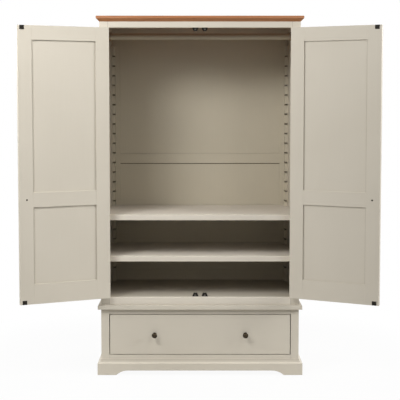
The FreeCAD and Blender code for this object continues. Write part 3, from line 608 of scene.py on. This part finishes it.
def shade_in_drawer_gap(middle, normal):
    """Painted shade on the edges that face each other across the drawer's gap."""
    return DRAWER_GAP_SHADE * (abs(normal.x) > FACING and abs(middle.x) < DRAWER_OPENING + FACE_MARGIN)


def shade_on_inner_face(middle, normal):
    """Painted shade on the insides of the side panels."""
    return INNER_FACE_SHADE * (normal.x * middle.x < INWARD)


def shade_in_hollow(middle, normal):
    """Painted shade in the hollow of the cove."""
    return HOLLOW_SHADE * (HOLLOW_SLOPES[0] < normal.z < HOLLOW_SLOPES[1])


def shade_on_ledge(middle, normal):
    """Painted shade that darkens what lies flat."""
    return LEDGE_SHADE * (normal.z > LEDGE_SLOPE)


def panel_edge_shadow(door):
    """A painted shadow line along each panel's edge at the meeting stile."""
    edge = DOOR_PANEL_END - PANEL_SHADOW_WIDTH
    across = door.place.to_3x3() @ Vector((1, 0, 0))
    from_pin = door.place.inverted()

    def in_panel_shadow(middle, normal):
        return PANEL_EDGE_SHADOW_SHARE * (door.hand * (from_pin @ middle).x > edge)

    return [(door.place @ Vector((door.hand * edge, 0, 0)), across)], in_panel_shadow


SEAMS = ([((side * (STILE_EDGE - SEAM), 0, 0), (1, 0, 0)) for side in SIDES], beside_stile)
# Planes to part the faces at, and how far each face is darkened: painted shade, apart from the seams of the
# front rails
SHADE_AND_SEAMS = {
    "left_side_panel": ((), shade_on_inner_face),
    "right_side_panel": ((), shade_on_inner_face),
    "front_top_rail": SEAMS,
    "front_bottom_rail": SEAMS,
    "drawer_front": ((), shade_in_drawer_gap),
    "base_stiles": ((), shade_in_drawer_gap),
    "plinth_cove": ((), shade_in_hollow),
    "waist_moulding": ((), shade_on_ledge),
    "base_top_board": ((), shade_on_ledge),
    "cabinet_floor": ((), shade_on_ledge),
    "notched_battens": ((), shade_in_notch),
    "back_stiles": ([((side * BATTEN_FACE, 0, 0), (1, 0, 0)) for side in SIDES]
                    + [((0, 0, BATTEN_ENDS[1]), (0, 0, 1))], shade_behind_batten),
    "back_lower_panel": ([((0, 0, BACK_RAIL_LOW - SHADOW_GAP), (0, 0, 1))], shadow_under_rail),
    "back_upper_panel": ([((0, 0, BACK_RAIL_HIGH + SHADOW_GAP), (0, 0, 1))], shade_over_rail),
}
for run, names in PAINTED.items():
    for node in names:
        if node in ("upper_shelf", "lower_shelf"):
            finish = shelf_sheen
        elif node in ("shelf_lippings", "front_bottom_rail"):
            finish = lit_front_edge
        elif node.startswith("back_") or node in ("notched_battens", "hanging_rail"):
            finish = inside[run]
        else:
            finish = paint[run]
        eased_copy(f"painted_{node}", [node], finish, EASE.get(node, PLAIN_EASE),
                   mitred=node in MITRED, bare=SHADE_AND_SEAMS.get(node))
eased_copy("painted_plinth", ["plinth_front", "plinth_ends"], paint["x"], PLINTH_EASE, mitred=True)
for door in doors:
    upright = satin_paint(f"{door.side}_door_paint_z", "z", door.pin, door.turn)
    level = satin_paint(f"{door.side}_door_paint_x", "x", door.pin, door.turn)
    for node in ("hinge_stile", "meeting_stile"):
        eased_copy(f"painted_{door.body}_{node}", [f"{door.body}_{node}"], upright, DOOR_EASE)
    eased_copy(f"painted_{door.body}_panels", [f"{door.body}_panels"], upright, DOOR_EASE,
               bare=panel_edge_shadow(door))
    eased_copy(f"painted_{door.body}_rails", [f"{door.body}_rails"], level, DOOR_EASE)

# Oak top and planed timber
OAK_EASE = 0.0008
TIMBER_EASE = 0.0005
PLANED = {
    "x": ("base_back_panel", "plinth_back", "drawer_back", "drawer_bottom"),
    "y": ("drawer_runners", "drawer_kickers", "drawer_sides"),
    "z": ("corner_blocks",),
}
eased_copy("waxed_oak_top", ["oak_top"], waxed_oak("waxed_oak"), OAK_EASE)
timber = {run: bare_timber(f"bare_timber_{run}", run) for run in "xyz"}
for run, names in PLANED.items():
    for node in names:
        eased_copy(f"planed_{node}", [node], timber[run], TIMBER_EASE)

# Metal and plastic fittings
STRIKE_EASE = 0.0003
CATCH_EASE = 0.0006
POLE_EASE = 0.0004
brass = aged_metal("aged_brass", BRASS, BRASS_TARNISHED, 1.0, 0.30)
for node in ("rail_sockets", "hinge_frame_leaves", "left_door_hinge_leaves", "right_door_hinge_leaves"):
    frame["nodes"][node].material_slots[0].material = brass
black = aged_metal("black_plate", BLACK, BLACK_CHIPPED, 0.0, 0.42)
for door in doors:
    eased_copy(f"{door.side}_strike_plates", [f"{door.body}_strike_plates"], black, STRIKE_EASE)
eased_copy("catch_bodies", ["catch_housings"], dark_moulding("catch_moulding"), CATCH_EASE)
steel = aged_metal("bright_steel", STEEL, STEEL_DULL, 1.0, 0.26, "x")
eased_copy("catch_pole_pieces", ["catch_magnets"], steel, POLE_EASE)

# Knobs
bronze = dark_bronze("dark_bronze")
for door in doors:
    place = door.on(KNOB_ACROSS, DOOR_OUTSIDE, KNOB_LEVEL, (0, -1, 0))
    add_piece(f"{door.side}_turned_knob", knob(place), bronze, door.body, "bronze", f"{door.body}_knob")
drawer_places = [stand((side * DRAWER_KNOB_ACROSS, CARCASS_FRONT, DRAWER_KNOB_LEVEL), (0, -1, 0))
                 for side in SIDES]
add_piece("drawer_turned_knobs", gather([knob(place) for place in drawer_places]), bronze, "drawer", "bronze",
          "drawer_knobs")

# Screws and bolts: radius, height and rise of the crown in millimetres
KNOB_BOLT = (4.5, 2.2, 1.5)
STRIKE_SCREW = (3.6, 0.5, 0.3)
HINGE_SCREW = (2.8, 0.3, 0.15)
CATCH_SCREW = (3.2, 0.8, 0.5)
for door in doors:
    bolt = slotted_head(door.on(KNOB_ACROSS, DOOR_INSIDE, KNOB_LEVEL, (0, 1, 0)), *KNOB_BOLT)
    add_piece(f"{door.side}_knob_bolt", bolt, bronze, door.body, "bronze")
    plates = [slotted_head(door.on(STRIKE_ACROSS, STRIKE_FACE, level, (0, 1, 0)), *STRIKE_SCREW)
              for level in STRIKE_LEVELS]
    add_piece(f"{door.side}_strike_screws", gather(plates), black, door.body, "black_metal")
HINGE_SCREW_STEPS = (-0.026, 0.0, 0.026)
LEAF_MIDDLE = 0.0135
frame_screws = []
for door in doors:
    levels = [level + step for level in HINGE_LEVELS for step in HINGE_SCREW_STEPS]
    leaf = [slotted_head(door.on(DOOR_EDGE, LEAF_MIDDLE, level, (-door.hand, 0, 0)), *HINGE_SCREW)
            for level in levels]
    add_piece(f"{door.side}_door_hinge_screws", gather(leaf), brass, door.body, "old_brass")
    frame_screws += [slotted_head(stand((-door.hand * STILE_EDGE, door.pin[1] + LEAF_MIDDLE, level),
                                        (door.hand, 0, 0)), *HINGE_SCREW) for level in levels]
add_piece("frame_hinge_screws", gather(frame_screws), brass, "carcass", "old_brass")
bolt_places = [stand((side * DRAWER_KNOB_ACROSS, DRAWER_FRONT_BACK, DRAWER_KNOB_LEVEL), (0, 1, 0))
               for side in SIDES]
drawer_bolts = [slotted_head(place, *KNOB_BOLT) for place in bolt_places]
add_piece("drawer_knob_bolts", gather(drawer_bolts), bronze, "drawer", "bronze")
catch_screws = [slotted_head(stand((side * CATCH_ACROSS, CATCH_SCREW_Y, level), (0, 0, up)), *CATCH_SCREW)
                for side in SIDES for level, up in CATCH_CROWNS]
polished = aged_metal("polished_steel", STEEL_POLISHED, STEEL, 1.0, 0.16, "x")
add_piece("catch_screws", gather(catch_screws), polished, "carcass", "magnet_steel")

# Floor, world and lamps
BACKDROP = (1.0, 1.0, 1.0)
AMBIENT = 0.186
PAPER = (0.62, 0.61, 0.59)
STUDIO_FLOOR = (0.20, 0.195, 0.185)
SHADOW_SHARE = 0.06
SHADOW_MIDDLE = -0.35
SHADOW_REACH = (0.8, 1.7)
FLOOR_HALF = 30.0
FLOOR_CELLS = 8


def seen(finish):
    """1 for what the camera sees, straight or in a gloss, and 0 for light on its way to the object."""
    rays = finish.add("ShaderNodeLightPath").socket.node.outputs
    found = [Wire(finish, rays[name]) for name in ("Is Camera Ray", "Is Glossy Ray", "Is Transmission Ray")]
    total = found[0] + found[1] + found[2]
    return total.work("MINIMUM", total, 1.0)


def pale_floor():
    """White paper that keeps a soft shadow close to the wardrobe."""
    floor = Finish("pale_floor")
    x, y, _ = floor.split(floor.spot())
    near = 1.0 - floor.spread(x.length_with(y - SHADOW_MIDDLE), *SHADOW_REACH)
    white = floor.add("ShaderNodeEmission", {}, {"Color": BACKDROP, "Strength": 1.0})
    matt = floor.add("ShaderNodeBsdfDiffuse", {}, {"Color": floor.mix(near, STUDIO_FLOOR, PAPER)})
    share = seen(floor) * (1.0 - near * SHADOW_SHARE)
    shown = floor.add("ShaderNodeMixShader", {}, {0: share, 1: matt, 2: white})
    floor.add("ShaderNodeOutputMaterial", {}, {"Surface": shown})
    return floor.material


ground = bmesh.new()
bmesh.ops.create_grid(ground, x_segments=FLOOR_CELLS, y_segments=FLOOR_CELLS, size=FLOOR_HALF)
ground_data = bpy.data.meshes.new("pale_floor")
ground.to_mesh(ground_data)
ground.free()
ground_data.materials.append(pale_floor())
ground_item = bpy.data.objects.new("pale_floor", ground_data)
bpy.context.scene.collection.objects.link(ground_item)

world = bpy.data.worlds.new("studio")
bpy.context.scene.world = world
world.use_nodes = True
room_light = Finish("studio", world.node_tree)
strength = seen(room_light) * (1.0 - AMBIENT) + AMBIENT
sky = room_light.add("ShaderNodeBackground", {}, {"Color": BACKDROP, "Strength": strength})
room_light.add("ShaderNodeOutputWorld", {}, {"Surface": sky})

# Each lamp has its place, what it points at, its width and height, and its power in watts
FRONT_AIM = (0.0, -0.4, 1.0)
BACK_AIM = (0.0, -0.3, 1.0)
LAMPS = {
    "left_softbox": ((-1.55, -2.36, 3.00), FRONT_AIM, 1.20, 0.60, 45.5),
    "left_strip": ((-2.80, -1.40, 2.20), FRONT_AIM, 0.50, 0.90, 32.0),
    "left_front": ((-2.60, -3.60, 3.20), FRONT_AIM, 1.20, 0.80, 34.5),
    "right_fill": ((1.40, -2.30, 3.20), FRONT_AIM, 0.80, 0.60, 8.3),
    "right_front": ((2.60, -3.80, 3.00), FRONT_AIM, 1.20, 0.80, 14.5),
    "right_window": ((5.51, -1.98, 2.85), FRONT_AIM, 1.30, 1.30, 192.0),
    "right_high": ((4.40, -2.48, 7.26), FRONT_AIM, 1.54, 1.54, 128.0),
    "left_behind": ((-3.00, 2.60, 2.60), BACK_AIM, 2.00, 2.00, 70.0),
    "right_behind": ((3.00, 2.60, 2.60), BACK_AIM, 2.00, 2.00, 70.0),
}
for name, (spot, target, width, height, power) in LAMPS.items():
    lamp = bpy.data.lights.new(name, "AREA")
    lamp.shape = "RECTANGLE"
    lamp.size = width
    lamp.size_y = height
    lamp.energy = power
    item = bpy.data.objects.new(name, lamp)
    item.location = spot
    item.rotation_euler = (Vector(target) - Vector(spot)).to_track_quat("-Z", "Y").to_euler()
    bpy.context.scene.collection.objects.link(item)

# Camera, with the lens in millimetres and the dip in degrees
EYE_PLACE = (0.0, -5.8538, 1.4937)
EYE_DIP = 3.9
SENSOR = 36.0
LENS = 88.28
LENS_SHIFT = -0.0796
view = bpy.data.cameras.new("front_camera")
view.sensor_width = SENSOR
view.lens = LENS
view.shift_y = LENS_SHIFT
eye = bpy.data.objects.new("front_camera", view)
eye.location = EYE_PLACE
eye.rotation_euler = (math.radians(90 - EYE_DIP), 0.0, 0.0)
bpy.context.scene.collection.objects.link(eye)
bpy.context.scene.camera = eye
bpy.context.scene.view_settings.view_transform = "Standard"
